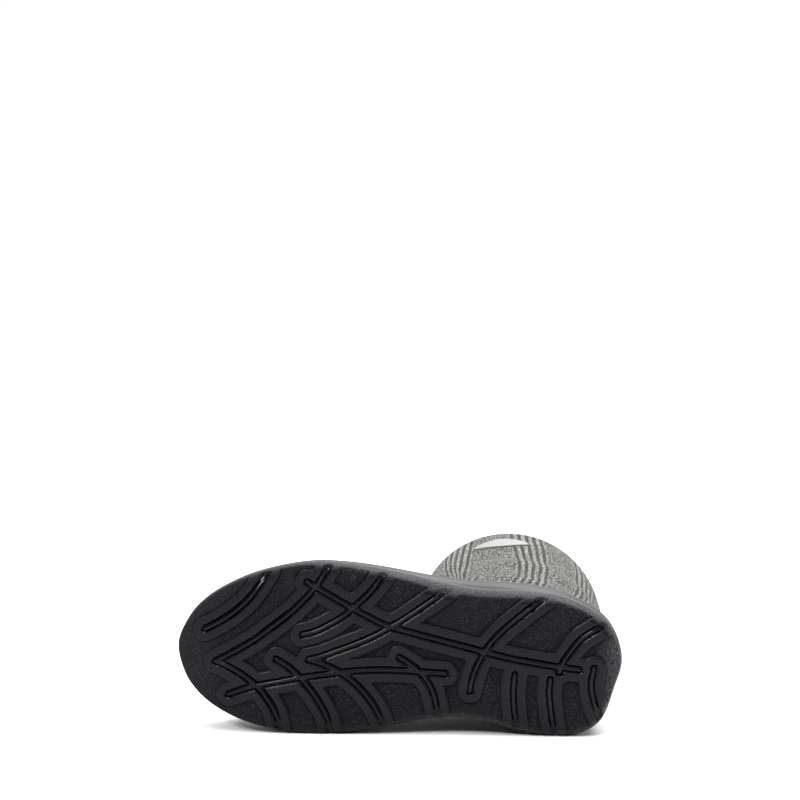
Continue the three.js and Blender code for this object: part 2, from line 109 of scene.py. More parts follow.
# a material being made: one method adds any shader node
class Paint:
    def __init__(self, name, tree=None):
        if tree is None:
            self.material = bpy.data.materials.new(name)
            self.material.use_nodes = True
            tree = self.material.node_tree
            tree.nodes.clear()
        self.tree = tree

    def node(self, kind, settings=None, inputs=None, output=0):
        made = self.tree.nodes.new("ShaderNode" + kind)
        for name, value in (settings or {}).items():
            setattr(made, name, value)
        for name, value in (inputs or {}).items():
            if isinstance(value, Value):
                self.tree.links.new(value.socket, made.inputs[name])
            else:
                made.inputs[name].default_value = value
        return None if output is None else Value(self, made.outputs[output])

    def attribute(self, name):
        return self.node("Attribute", {"attribute_name": name}, output="Fac")

    def place(self, stretch=(1, 1, 1)):
        spot = self.node("TexCoord", output="Object")
        return self.node("Mapping", {}, {"Vector": spot, "Scale": stretch})

    def mapUv(self):
        spot = self.node("UVMap", {"uv_map": "knitMap"})
        return self.split(spot)

    def split(self, vector):
        first = self.node("SeparateXYZ", {}, {"Vector": vector})
        return [Value(self, socket) for socket in first.socket.node.outputs]

    def join(self, x, y):
        return self.node("CombineXYZ", {}, {"X": x, "Y": y})

    def noise(self, spot, scale, detail, roughness):
        return self.node("TexNoise", {}, {
            "Vector": spot, "Scale": scale, "Detail": detail, "Roughness": roughness})

    # the node's colour sockets go by number: factor 0, colours 6 and 7, result 2
    def mix(self, share, first, second):
        inputs = {0: share, 6: first, 7: second}
        return self.node("Mix", {"data_type": "RGBA"}, inputs, output=2)

    def bump(self, height, strength, distance, onto=None):
        inputs = {"Height": height, "Strength": strength, "Distance": distance}
        if onto is not None:
            inputs["Normal"] = onto
        return self.node("Bump", {}, inputs)

    def finish(self, **inputs):
        named = {name.replace("_", " "): value for name, value in inputs.items()}
        shader = self.node("BsdfPrincipled", {}, named)
        self.node("OutputMaterial", {}, {"Surface": shader}, None)
        return self.material


# grey as seen on screen, 0 to 255, with what red and blue have more; the screen's curve undone
def grey(level, warm=0.0, cool=0.0):
    def linear(seen):
        share = seen / 255
        return share / 12.92 if share <= 0.04045 else ((share + 0.055) / 1.055) ** 2.4
    return (linear(level + warm), linear(level), linear(level + cool), 1.0)


# white floor and backdrop; a sun high on the left in front of the tread, one soft lamp behind; the
# sky is brightest overhead and dim in front, so that the rubber stays dark
stageSet = {
    "floorHalf": 9.0,
    # the sky's brightness in front, behind, overhead and where it is looked at directly
    "front": 0.08, "back": 1.25, "top": 3.6, "seen": 1.03,
    "right": 0.85,  # how near the right side comes to the back's brightness
    # parts of the direction between which each side takes over
    "backFrom": (-0.35, 0.2), "upFrom": (0.35, 0.8), "rightFrom": (0.5, 0.9),
    "topFrom": (0.7, 0.95),
    "aim": (0, 0, 0.05),
    # name, kind, place, power, size in metres or degrees
    "lights": [("backLamp", "AREA", (0.3, 0.8, 1.2), 24.0, 0.8),
               ("highSun", "SUN", (-1.1, -1.7, 1.6), 1.9, 12)],
}


# sky: climbs from the front's value to the back's as the direction turns back, up or right, and on
# to the top's overhead; looked at directly it is an even white
def makeSky(settings):
    world = bpy.data.worlds.new("studio")
    world.use_nodes = True
    world.node_tree.nodes.clear()
    paint = Paint("sky", world.node_tree)
    side, back, up = paint.split(paint.node("TexCoord"))
    share = back.between(*settings["backFrom"]).largest(up.between(*settings["upFrom"]))
    share = share.largest(side.between(*settings["rightFrom"]) * settings["right"])
    strength = share * (settings["back"] - settings["front"]) + settings["front"]
    strength = strength + up.between(*settings["topFrom"]) * (settings["top"] - settings["back"])
    seen = paint.node("LightPath")
    strength = seen * settings["seen"] + (1 - seen) * strength
    sky = paint.node("Background", {}, {"Color": (1, 1, 1, 1), "Strength": strength})
    paint.node("OutputWorld", {}, {"Surface": sky}, None)
    bpy.context.scene.world = world


def addLamp(name, kind, spot, power, size, aim):
    data = bpy.data.lights.new(name, kind)
    data.energy = power
    if kind == "AREA":
        data.shape = "SQUARE"
        data.size = size
    else:
        data.angle = math.radians(size)
    lamp = addObject(name, data)
    lamp.location = spot
    away = np.array(spot) - np.array(aim)
    tilt = math.acos(away[2] / np.linalg.norm(away))
    lamp.rotation_euler = (tilt, 0, math.atan2(away[1], away[0]) + math.pi / 2)


def makeStage(settings):
    half = settings["floorHalf"]
    mesh = bpy.data.meshes.new("floor")
    corners = [(-half, -half, 0), (half, -half, 0), (half, half, 0), (-half, half, 0)]
    mesh.from_pydata(corners, [], [(0, 1, 2, 3)])
    floor = addObject("floor", mesh)
    mesh.materials.append(Paint("floorWhite").finish(Base_Color=(0.9, 0.9, 0.9, 1), Roughness=0.9))
    makeSky(settings)
    for light in settings["lights"]:
        addLamp(*light, settings["aim"])
    bpy.context.scene.view_settings.view_transform = "Standard"


makeStage(stageSet)
print("stage and light made")

# the boot's own frame in millimetres: x heel to toe, y to the outer side, z up from the tread;
# it lies rolled over by some degrees and is shifted into the row frame
restSet = {"roll": 6.0, "along": 140.9611, "up": 201.0, "lift": 33.7227}
rollCos, rollSin = math.cos(math.radians(restSet["roll"])), math.sin(math.radians(restSet["roll"]))


# turns the standing boot onto its side: shoe x, y, z to the row frame, in metres
def toRow(points):
    x, y, z = points[..., 0], points[..., 1], points[..., 2]
    return np.stack([-rollCos * x + rollSin * y + restSet["along"], z - restSet["up"],
                     rollSin * x + rollCos * y + restSet["lift"]], -1) / 1000


# 0 up to the start, rising evenly to 1 over the length
def ramp(value, start, length):
    return np.clip((value - start) / length, 0, 1)


# smooth closed or open curve through knots, many points in each span: a cubic whose end
# slopes weigh the neighbouring chords by the square root of their lengths
def smoothCurve(knots, closed, each=40):
    p = np.array(knots, float)
    if closed:
        p0, p1, p2, p3 = np.roll(p, 1, 0), p, np.roll(p, -1, 0), np.roll(p, -2, 0)
    else:
        longer = np.vstack([2 * p[0] - p[1], p, 2 * p[-1] - p[-2]])
        p0, p1, p2, p3 = longer[:-3], longer[1:-2], longer[2:-1], longer[3:]
    d0, d1, d2 = (np.maximum(np.linalg.norm(b - a, axis=1), 1e-6)[:, None] ** 0.5
                  for a, b in ((p0, p1), (p1, p2), (p2, p3)))
    t1 = ((p1 - p0) / d0 - (p2 - p0) / (d0 + d1) + (p2 - p1) / d1) * d1
    t2 = ((p2 - p1) / d1 - (p3 - p1) / (d1 + d2) + (p3 - p2) / d2) * d1
    t = np.linspace(0, 1, each, endpoint=False)[None, :, None]
    c2 = -3 * p1 + 3 * p2 - 2 * t1 - t2
    c3 = 2 * p1 - 2 * p2 + t1 + t2
    line = p1[:, None] + t1[:, None] * t + c2[:, None] * t ** 2 + c3[:, None] * t ** 3
    line = line.reshape(-1, p.shape[1])
    return line if closed else np.vstack([line, p[-1]])


def sumsOf(steps):
    return np.concatenate([[0], np.cumsum(steps)])


# length of a line up to each of its points
def lengthsOf(line):
    return sumsOf(np.linalg.norm(np.diff(line, axis=0), axis=1))


# points at given shares of a line's length
def alongLine(line, shares, closed=False):
    if closed:
        line = np.vstack([line, line[:1]])
    run = lengthsOf(line)
    at = np.asarray(shares) * run[-1]
    return np.stack([np.interp(at, run, line[:, k]) for k in range(line.shape[1])], -1)


# a table's column read at x with soft corners: the broken line averaged over a short span
def softTable(table, x, column, span=14.0, samples=9):
    xs = np.array([row["x"] for row in table], float)
    ys = np.array([row[column] for row in table], float)
    shifts = np.linspace(-span / 2, span / 2, samples)
    return np.mean([np.interp(np.asarray(x) + d, xs, ys) for d in shifts], axis=0)


# rows of a table with their columns named
def named(columns, rows):
    return [dict(zip(columns, row)) for row in rows]


lastSet = {
    "points": 2800,  # of the outline
    "slopeSpan": 0.0015,  # share of its length to each side over which its direction is read
    # widths to both sides of the long axis, and how far the upper wall stands out past the lower
    "outline": named(["x", "outer", "inner", "outerLip", "innerLip"], [
        (3, 24, 2, 0, 0), (10, 35.3, 25, 0, 0), (22, 43.3, 34.6, 0.2, 0), (40, 49.2, 38.1, 0.8, 0),
        (60, 50.8, 37.4, 1.8, 0.8), (80, 49.4, 34.2, 3.2, 2.4), (100, 48.4, 33.8, 3.2, 3.2),
        (120, 50.2, 37.4, 1.6, 2.2), (140, 53.0, 43.4, 0.4, 0.8), (160, 55.0, 49.1, 0, 0),
        (180, 55.6, 52.8, 0, 0), (200, 54.3, 54.4, 0, 0), (220, 49.4, 53.9, 0, 0),
        (240, 41.6, 50.4, 0, 0), (256, 32.2, 44.6, 0, 0), (268, 22.6, 37.0, 0, 0),
        (277, 11.0, 27.0, 0, 0)]),
    "heelTip": (0.4, 12),
    "toeTip": (283.5, -8.5),
    # how far the tread rises off the ground, and how thick the sole is up to its rim
    "rise": named(["x", "rise"], [
        (-10, 7.5), (6, 1.6), (14, 0), (80, 0), (112, 1.6), (144, 0), (200, 0), (220, 1.2),
        (240, 4.2), (262, 9.8), (290, 19.5)]),
    "rim": named(["x", "height"], [
        (0, 38), (60, 38), (100, 36), (140, 31), (180, 27.5), (220, 25.5), (290, 25)]),
}


def riseAt(x):
    return softTable(lastSet["rise"], x, "rise")


def rimAt(x):
    return softTable(lastSet["rim"], x, "height")


# greatest outline of the sole as a closed line from the heel over the outer side to the toe
def makeOutline():
    rows = lastSet["outline"]
    knots = [lastSet["heelTip"]] + [(r["x"], r["outer"]) for r in rows]
    knots += [lastSet["toeTip"]] + [(r["x"], -r["inner"]) for r in rows[::-1]]
    shares = np.arange(lastSet["points"]) / lastSet["points"]
    return alongLine(smoothCurve(knots, True), shares, True)


outlineLine = makeOutline()
toeShare = np.argmax(outlineLine[:, 0]) / len(outlineLine)


# outline points, outward normals and lips at given shares of its length
def outlineAt(shares):
    shares = np.asarray(shares) % 1
    before, spot, after = (alongLine(outlineLine, (shares + step) % 1, True)
                           for step in (-lastSet["slopeSpan"], 0, lastSet["slopeSpan"]))
    run = after - before
    run /= np.linalg.norm(run, axis=1)[:, None]
    normal = np.stack([-run[:, 1], run[:, 0]], -1)
    lip = np.where(shares <= toeShare, softTable(lastSet["outline"], spot[:, 0], "outerLip"),
                   softTable(lastSet["outline"], spot[:, 0], "innerLip"))
    return spot, normal, lip


# one mesh object with its body, the node it replaces and its materials
def makePiece(name, points, faces, node, materials, faceLook=None, values=None, uv=None):
    mesh = bpy.data.meshes.new(name)
    loops = np.concatenate([f.reshape(-1) for f in faces]).astype(np.int32)
    sizes = np.concatenate([np.full(len(f), f.shape[1]) for f in faces]).astype(np.int32)
    mesh.vertices.add(len(points))
    mesh.vertices.foreach_set("co", toRow(points).astype(np.float32).reshape(-1))
    mesh.loops.add(len(loops))
    mesh.loops.foreach_set("vertex_index", loops)
    mesh.polygons.add(len(sizes))
    mesh.polygons.foreach_set("loop_start", sumsOf(sizes)[:-1].astype(np.int32))
    mesh.polygons.foreach_set("use_smooth", np.ones(len(sizes), bool))
    if faceLook is not None:
        mesh.polygons.foreach_set("material_index", faceLook.astype(np.int32))
    for key, value in (values or {}).items():
        layer = mesh.attributes.new(key, "FLOAT", "POINT")
        layer.data.foreach_set("value", value.astype(np.float32))
    if uv is not None:
        layer = mesh.uv_layers.new(name="knitMap")
        layer.data.foreach_set("uv", uv.astype(np.float32).reshape(-1))
    mesh.update(calc_edges=True)
    mesh.validate()
    for material in materials:
        mesh.materials.append(material)
    piece = addObject(name, mesh)
    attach(piece, "root")
    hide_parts(node)
    print(name, len(mesh.vertices), "vertices")
    return piece


# quads between rings of equal length; ring k starts at starts[k]
def ringFaces(starts, count):
    here = np.arange(count)[None]
    there = (here + 1) % count
    low, high = starts[:-1, None], starts[1:, None]
    return np.stack([low + here, high + here, high + there, low + there], -1).reshape(-1, 4)


# fills a closed ring: rows in cross parts run from each place to its partner across the axis
# through the point at shift; gives the points inside and the faces, turned over for a last ring
def spanRing(ring, start, fresh, shift, cross, turned):
    count = len(ring)
    k = np.arange(1, count // 2)
    left, right = (shift + k) % count, (shift - k) % count
    s = (np.arange(1, cross) / cross)[None, :, None]
    inside = ring[left][:, None] * (1 - s) + ring[right][:, None] * s
    middle = fresh + np.arange(inside.size // 3).reshape(len(k), -1)
    index = np.column_stack([left + start, middle, right + start])
    tips = [np.full(cross, start + (shift + turn) % count) for turn in (0, count // 2)]
    quads = np.stack([index[:-1, :-1], index[1:, :-1], index[1:, 1:], index[:-1, 1:]], -1)
    quads = quads.reshape(-1, 4)
    ends = np.concatenate([np.stack([tips[0], index[0, :-1], index[0, 1:]], -1),
                           np.stack([index[-1, :-1], tips[1], index[-1, 1:]], -1)])
    faces = [quads[:, ::-1], ends[:, ::-1]] if turned else [quads, ends]
    return inside.reshape(-1, ring.shape[1]), faces


# tread: centre lines of the grooved bands, and the shapes across them, in millimetres
treadSet = {
    "cells": (424, 168),
    "turnSpan": 5,  # points of the outline to each side over which its turn is read
    # the patch's corners: direction of the outline there, bounds along and across the sole
    "corners": [(45, (-99, 80), (0, 99)), (-45, (200, 999), (-10, 99)),
                (-135, (200, 999), (-99, 0)), (135, (-99, 80), (-99, 10))],
    "patchInset": 1.5,
    "round": 6.4,  # how far in from the outline the edge rounding starts
    "roundUp": 8.5,  # how high it climbs
    # more of it along the waist's outer side, setting in over so much of the width
    "rounder": ((60, 0), (85, 2.8), (125, 2.8), (150, 0)), "rounderOver": 25,
    "bevel": ((0, 2.0), (25, 1.5)),  # across the sole: 1 is a straight bevel, 2 a quarter ellipse
    "squarer": ((0, 30, 150, 210), (0.7, 0, 0, 1.2)),  # places along the sole, what the bevel gains
    # distance from a band's centre, how far in from the bands' plane
    "across": [(0, 0.3), (0.4, 0.35), (0.8, 0.52), (1.2, 0.85), (1.6, 1.4), (1.95, 2.1),
               (2.35, 2.9), (2.9, 0), (7.3, 0), (7.75, 2.1), (99, 2.1)],
    "levels": (2.35, 2.9, 7.3, 7.75),  # distances that have an edge, onto which points are drawn
    "pull": 0.3,  # from how near
    "grooveHalf": 2.9,
    "sink": (10, 3.5),  # how far in from the outline the beads begin to sink, and are gone
    "trough": (3.6, 3),  # depth and half width of the groove where its bead is gone
    # sand grain: where the fields' starts, share of the edge rounding where the edge's ends; fades
    "sandy": (7.35, 0.5), "sandyEdge": (0.75, 2.6),
    "fieldIn": (2.2, 2.5),  # how far in the fields' dark ground starts, and over how much
    # at the heel's end the fields give way to the edge's lighter grain, its painted highlight
    "heelPaintedLight": ((3, 17), (0, 1)),  # places along the sole, how far the fields keep that ground
    # smooth places darkened by painted shade: depth at which a groove is fully dark, and its half
    # width
    "dark": (3, 2.95),
    # painted shade: a dark line at the foot of each field's step, where the step's flank is unlit
    "foot": (7.8, 0.95, 1.4),  # the foot of a field's step: distance, half width, strength
    "gloss": (1.25, 0.45, 8),  # the beads: half width, strength, how far in they start
    "bandReach": 9, "eachSpan": 8, "outlineStep": 4,
    "bands": {
        "longSpine": [(27, 5.8), (45, 6.3), (67, 7.7), (88, 10.3), (112, 13.7), (128, 16.2),
            (150, 20), (163, 24.6), (173, 28.6), (183, 33), (193, 37.4), (203, 41.8)],
        "innerSpine": [(110, -6.3), (122, -6.8), (133, -7.1), (147, -8), (162, -10), (173, -12.2),
            (183, -14.6), (195, -17.6), (204, -20), (215, -23.4), (228, -27.6), (238, -31.6),
            (246, -35.6)],
        "heelOuter": [(-3, 49), (11, 37.5), (20, 31.7), (28, 25), (34.2, 16), (38.4, 7.5),
            (39.2, 3)],
        "waistOuter": [(43, 59), (52.5, 49.2), (61.7, 40.6), (70, 32.5), (78, 24), (85, 14.6),
            (89, 6.4), (91.8, -1.7), (93.3, -9), (93.7, -15.2)],
        "heelInner": [(18, 7.6), (18.6, -1.7), (16.8, -10), (13.2, -18.5), (7, -30)],
        "heelMiddle": [(44.2, -2.4), (44.2, -10), (42.6, -18.4), (40.8, -26.6), (35.6, -43)],
        "heelFront": [(66.7, -2), (66.7, -10), (65.8, -18.4), (64.2, -26.6), (60, -44)],
        "arch": [(140, 0.8), (134, -2), (128.3, -5.4), (122, -11), (117, -18.2), (113.6, -28),
            (110, -42)],
        "ballOuter": [(106, 55), (115, 46.4), (123.3, 39), (133.3, 30.4), (143.3, 22.4),
            (150, 17.5), (158, 12), (168.3, 6.2), (180, 0.4), (188.3, -3.8), (197, -7)],
        "ballInner": [(197, -7), (190, -8.3), (181.7, -10.6), (173.3, -14.2), (165, -19.3),
            (158.3, -25.2), (152.5, -31.6), (144, -46)],
        "forefootOuter": [(151, 62), (154.6, 53.6), (158.6, 46.4), (165, 37), (172.5, 28.7),
            (178.4, 22.4), (186, 16.6), (195, 11), (202.5, 8.3)],
        "forefootInner": [(217.5, -9.2), (209, -13.2), (201.5, -18.6), (193.3, -26.2), (186.7, -34),
            (181.7, -42), (177, -58)],
        "tipOuter": [(188, 64), (190, 55), (193.3, 47), (197.6, 39.2), (203.3, 31), (211.7, 21),
            (223.3, 9.8), (233.3, 0.8), (245, -8), (256.8, -16)],
        "tipInner": [(256.8, -16), (248.3, -18.2), (238.3, -22), (228.6, -27.6), (221.4, -34),
            (215, -42.4), (209, -60)],
        "toe": [(265.8, 3.3), (256.7, 9.4), (247, 17.6), (238.5, 27.4), (233, 36.8), (229, 45.4),
            (224, 62)],
    },
}


# nearest point of a line of short pieces to each of many points, with the distance; in parts
def nearestOn(points, line, atOnce=4000000):
    best = np.zeros(len(points))
    spot = np.zeros_like(points)
    a, b = line[:-1], line[1:]
    run = b - a
    long = (run ** 2).sum(1)
    parts = max(1, len(points) * len(a) // atOnce)
    for part in np.array_split(np.arange(len(points)), parts):
        p = points[part]
        t = ((p[:, None] - a[None]) * run[None]).sum(2) / long[None]
        near = a[None] + np.clip(t, 0, 1)[..., None] * run[None]
        d = ((p[:, None] - near) ** 2).sum(2)
        k = d.argmin(1)
        best[part] = np.sqrt(d[np.arange(len(p)), k])
        spot[part] = near[np.arange(len(p)), k]
    return spot, best


# nearest band centre to each point: only points in a band's neighbourhood are measured
def nearestBand(points, far=99.0):
    best = np.full(len(points), far)
    spot = points.copy()
    for line in treadSet["bands"].values():
        curve = smoothCurve(line, False, treadSet["eachSpan"])
        low, high = curve.min(0) - treadSet["bandReach"], curve.max(0) + treadSet["bandReach"]
        close = np.flatnonzero(((points > low) & (points < high)).all(1))
        near, distance = nearestOn(points[close], curve)
        nearer = distance < best[close]
        best[close[nearer]] = distance[nearer]
        spot[close[nearer]] = near[nearer]
    return spot, best


# width of the edge rounding at places of the tread
def reachAt(x, y):
    more = np.interp(x, *zip(*treadSet["rounder"]))
    return treadSet["round"] + more * ramp(y, 0, treadSet["rounderOver"])


# edge rounding, flatter on the outer side and squarer at heel and toe: the whole climb times
# 1 - (1 - t^power)^(1/power), where t runs from 0 at its inner end to 1 at the outline
def roundingAt(inset, x, y):
    reach = reachAt(x, y)
    t = np.clip((reach - inset) / reach, 0, 1)
    power = np.interp(y, *zip(*treadSet["bevel"])) + np.interp(x, *treadSet["squarer"])
    return treadSet["roundUp"] * (1 - (1 - t ** power) ** (1 / power))


# share of the outline's length at the place in the given bounds that runs nearest to the angle
def cornerAt(angle, along, across):
    x, y = outlineLine.T
    span = treadSet["turnSpan"]
    run = np.roll(outlineLine, -span, 0) - np.roll(outlineLine, span, 0)
    turn = np.degrees(np.arctan2(run[:, 1], run[:, 0]))
    inside = (x > along[0]) & (x < along[1]) & (y > across[0]) & (y < across[1])
    return np.flatnonzero(inside)[np.abs(turn[inside] - angle).argmin()] / len(outlineLine)


# points spanned between four stretches of the inset outline: the blends of both pairs of sides
# added, less the blend of the four corners
def patchGrid():
    nu, nv = treadSet["cells"]
    heelOuter, toeOuter, toeInner, heelInner = (cornerAt(*row) for row in treadSet["corners"])
    ends = [(heelOuter, toeOuter, nu), (toeOuter, toeInner, nv), (toeInner, heelInner, nu),
            (heelInner, heelOuter + 1, nv)]
    sides = [(a + (b - a) * np.linspace(0, 1, n + 1)) % 1 for a, b, n in ends]
    lines = []
    for shares in sides:
        spot, normal, _ = outlineAt(shares)
        lines.append(spot - normal * treadSet["patchInset"])
    top, right, bottom, left = lines[0], lines[1][::-1], lines[2][::-1], lines[3]
    u = np.linspace(0, 1, nu + 1)[:, None, None]
    v = np.linspace(0, 1, nv + 1)[None, :, None]
    grid = (1 - v) * bottom[:, None] + v * top[:, None] + (1 - u) * left[None] + u * right[None]
    grid -= ((1 - u) * (1 - v) * bottom[0] + u * (1 - v) * bottom[-1]
             + (1 - u) * v * top[0] + u * v * top[-1])
    edge = np.ones((nu + 1, nv + 1), bool)
    edge[1:-1, 1:-1] = False
    return grid.reshape(-1, 2), edge.reshape(-1), np.concatenate([side[:-1] for side in sides])


# tread patch: points drawn onto the edges of bands and grooves, height the greater of the edge
# rounding and the shape across the nearest band; also how sandy and field-like they are, and how
# smooth and darkened by painted shade
def makeTread():
    nu, nv = treadSet["cells"]
    flat, edge, shares = patchGrid()
    spot, distance = nearestBand(flat)
    levels = np.array(treadSet["levels"])
    gap = np.abs(distance[:, None] - levels[None])
    goal = levels[gap.argmin(1)]
    pull = (gap.min(1) < treadSet["pull"]) & ~edge & (distance > 1e-6)
    away = (flat - spot) / np.maximum(distance, 1e-6)[:, None]
    flat = np.where(pull[:, None], spot + away * goal[:, None], flat)
    distance = np.where(pull, goal, distance)
    coarse = np.vstack([outlineLine[::treadSet["outlineStep"]], outlineLine[:1]])
    inward = nearestOn(flat, coarse)[1]
    inward = np.where(edge, treadSet["patchInset"], inward)
    feature = np.interp(distance, *zip(*treadSet["across"]))
    sink = np.interp(inward, treadSet["sink"][::-1], (1, 0)) * (distance < treadSet["grooveHalf"])
    troughDepth, troughHalf = treadSet["trough"]
    trough = troughDepth * np.sqrt(np.clip(1 - (distance / troughHalf) ** 2, 0, 1))
    feature += np.maximum(trough - feature, 0) * sink
    rounding = roundingAt(inward, *flat.T)
    height = np.maximum(rounding, feature)

    sand = ramp(distance, *treadSet["sandy"])
    # the fields fade out at the heel's end, where the edge's painted highlight takes over
    field = sand * ramp(inward, *treadSet["fieldIn"]) * np.interp(flat[:, 0], *treadSet["heelPaintedLight"])
    edgeShare, edgeOver = treadSet["sandyEdge"]
    sand = np.maximum(sand, np.clip((reachAt(*flat.T) * edgeShare - inward) / edgeOver, 0, 1))
    # deep: glossier and darker; the darkness is painted shade at the bottoms of grooves and at the
    # foot of each field's step; the beads join in, mainly for gloss
    shadeDepth, shadeHalf = treadSet["dark"]
    deep = np.clip(height - rounding, 0, shadeDepth) / shadeDepth * (distance < shadeHalf)
    stepShadeAt, stepShadeHalf, stepShadeStrength = treadSet["foot"]
    foot = np.clip(1 - np.abs(distance - stepShadeAt) / stepShadeHalf, 0, 1)
    foot *= np.clip(feature - rounding, 0, 1)
    glossHalf, glossStrength, glossIn = treadSet["gloss"]
    gloss = (distance < glossHalf) * (inward > glossIn) * glossStrength
    deep = np.maximum(np.maximum(deep, np.minimum(foot * stepShadeStrength, 1)), gloss)

    points = np.column_stack([flat, height + riseAt(flat[:, 0])])
    index = np.arange((nu + 1) * (nv + 1)).reshape(nu + 1, nv + 1)
    quads = np.stack([index[:-1, :-1], index[:-1, 1:], index[1:, 1:], index[1:, :-1]], -1)
    quads = quads.reshape(-1, 4)
    # each cell is cut between the corners nearest in height
    step = np.abs(height[quads[:, :2]] - height[quads[:, 2:]])
    even = (step[:, 0] <= step[:, 1])[:, None]
    a, b, c, d = quads.T
    faces = np.concatenate([np.where(even, np.stack([a, b, c], 1), np.stack([a, b, d], 1)),
                            np.where(even, np.stack([a, c, d], 1), np.stack([b, c, d], 1))])
    loop = np.concatenate([index[:-1, -1], index[-1, :0:-1], index[:0:-1, 0], index[0, :-1]])
    return points, faces, loop, shares, sand, deep, field


# side wall above the tread, ring by ring up to the rim and down into the seat
wallSet = {
    "insets": (1.05, 0.65, 0.32, 0.1, 0),  # rings of the rounding above the patch
    "straight": (11.5, 14.3),  # heights of the lower wall
    "sandyWall": 0.6,  # sand grain on the lower wall and the parting line
    # share of the way from the parting line to the rim, inset, share of the lip
    "upper": [(0, 0.55, 0.1), (0.03, 0.4, 0.15), (0.14, 0.15, 0.5), (0.45, 0.2, 0.85),
              (0.8, 0.45, 1), (0.9, 0.9, 1), (0.97, 1.9, 0.95), (1, 3.2, 0.9)],
    "parting": (14.8, 15.2), "partingInset": (0.2, 0.55), "partingLip": 0.05, "overParting": 0.2,
    "seatInset": 6.2, "seatLip": 0.6, "seatDepth": 5.0, "seatCross": 6,
    # places across and along the sole, and how much of the edge's painted highlight shows there:
    # most on the outer side, which lies on top, little on the inner side below and at the toe
    "rimLightAcross": ((-40, -15), (0.15, 1)),
    "rimLightAlong": ((0, 60, 150, 210), (1, 1.15, 1.15, 0.1)),
}


def makeSole(material):
    points, faces, loop, shares, sand, deep, field = makeTread()
    spot, normal, lip = outlineAt(shares)
    count = len(loop)

    def ring(inset, share, height):
        flat = spot + normal * (lip * share - inset)[:, None]
        up = height(flat[:, 0]) if callable(height) else np.zeros(count) + height
        return np.column_stack([flat, up + riseAt(flat[:, 0])])

    rings, sandy = [], []
    for inset in wallSet["insets"]:
        rings.append(ring(inset, 0, roundingAt(inset, *spot.T)))
        sandy.append(1)
    for up in wallSet["straight"]:
        rings.append(ring(0, 0, up))
        sandy.append(wallSet["sandyWall"])
    for up, inset in zip(wallSet["parting"], wallSet["partingInset"]):
        rings.append(ring(inset, wallSet["partingLip"], up))
        sandy.append(wallSet["sandyWall"])
    start = wallSet["parting"][1] + wallSet["overParting"]
    for share, inset, lipShare in wallSet["upper"]:
        rings.append(ring(inset, lipShare, lambda x, k=share: start + (rimAt(x) - start) * k))
        sandy.append(0)
    for depth in (0, wallSet["seatDepth"]):
        rings.append(ring(wallSet["seatInset"], wallSet["seatLip"], lambda x: rimAt(x) - depth))
        sandy.append(0)
    starts = len(points) + np.arange(len(rings)) * count
    wall = ringFaces(starts, count)
    shift, cross = -treadSet["cells"][1] // 2, wallSet["seatCross"]
    seat, floor = spanRing(rings[-1], starts[-1], starts[-1] + count, shift, cross, True)
    here = np.arange(count)
    link = np.stack([loop, starts[0] + here, starts[0] + (here + 1) % count, np.roll(loop, -1)], -1)
    places = np.vstack([points, *rings, seat])

    # a value of the patch, then one for each ring, and none on the seat
    def fill(part, after):
        return np.concatenate([part, np.repeat(after, count), np.zeros(len(seat))])

    none = np.zeros(len(rings))
    smooth = (np.array(sandy) == 0) * 1.0
    # painted highlight on the edge: full on the outer side lying on top, faint on the inner side
    # below and at the toe
    paintedRimLight = (np.interp(places[:, 1], *wallSet["rimLightAcross"])
              * np.interp(places[:, 0], *wallSet["rimLightAlong"]))
    values = {"sand": fill(sand, sandy), "deep": fill(deep, none), "field": fill(field, none),
              "side": fill(np.zeros(len(points)), smooth), "paintedRimLight": paintedRimLight}
    return makePiece("soleUnit", places, [faces, link, wall, *floor], "unit_sole",
                     [material], values=values)


# rubber: near black, with sand grain in fields and on the edge; the edge's lighter grain is a
# painted highlight;
# grooves, beads and the foot of each step are smoother, and painted shade darkens the grooves and
# the steps' feet
rubberSet = {
    "grain": (1250, 2, 0.7), "cloud": (60, 3, 0.55),
    # grain: where it turns from dark to light, and both greys; the rim's lighter greys are a
    # painted highlight on the edge over its real grain
    "field": (0.54, 0.68, (0, 0, 3), (46, 0, 6)), "rim": (0.36, 0.64, (6, 0, 2), (68, 0, 4)),
    # roughness of the bands, what sand, side wall and cloud add, what smooth places lose; how far
    # painted shade darkens them
    "rough": (0.29, 0.13, 0.16, 0.06, 0.92), "shadeTone": 0.85, "bandGrain": 0.03,
}


def rubberPaint():
    paint = Paint("soleRubber")
    names = ("sand", "deep", "field", "side", "paintedRimLight")
    sand, deep, field, side, paintedRimLight = (paint.attribute(name) for name in names)
    grain, cloud = (paint.noise(paint.place(), *rubberSet[key]) for key in ("grain", "cloud"))
    # the edge's grain, lighter than the fields': painted highlight where the edge catches the light
    rim = (sand - field).largest(0.0) * paintedRimLight
    tone = paint.mix(cloud, grey(9, 0, 5), grey(13, 0, 6))
    for share, key in ((field, "field"), (rim, "rim")):
        low, high, dark, light = rubberSet[key]
        grained = paint.mix(grain.between(low, high), grey(*dark), grey(*light))
        tone = paint.mix(share, tone, grained)
    # painted shade: grooves and the foot of each step darkened toward near black, the beads a
    # little with them
    tone = paint.mix(deep * rubberSet["shadeTone"], tone, grey(6, 0, 2))
    plain, sanded, walled, clouded, lost = rubberSet["rough"]
    rough = (plain + sand * sanded + side * walled + cloud * clouded) * (1.0 - deep * lost)
    grained = sand * (1 - rubberSet["bandGrain"]) + rubberSet["bandGrain"]
    bump = paint.bump(grain * grained * (1.0 - deep), 1.0, 0.001)
    return paint.finish(Base_Color=tone, Roughness=rough, Normal=bump, Specular_IOR_Level=0.14)


makeSole(rubberPaint())

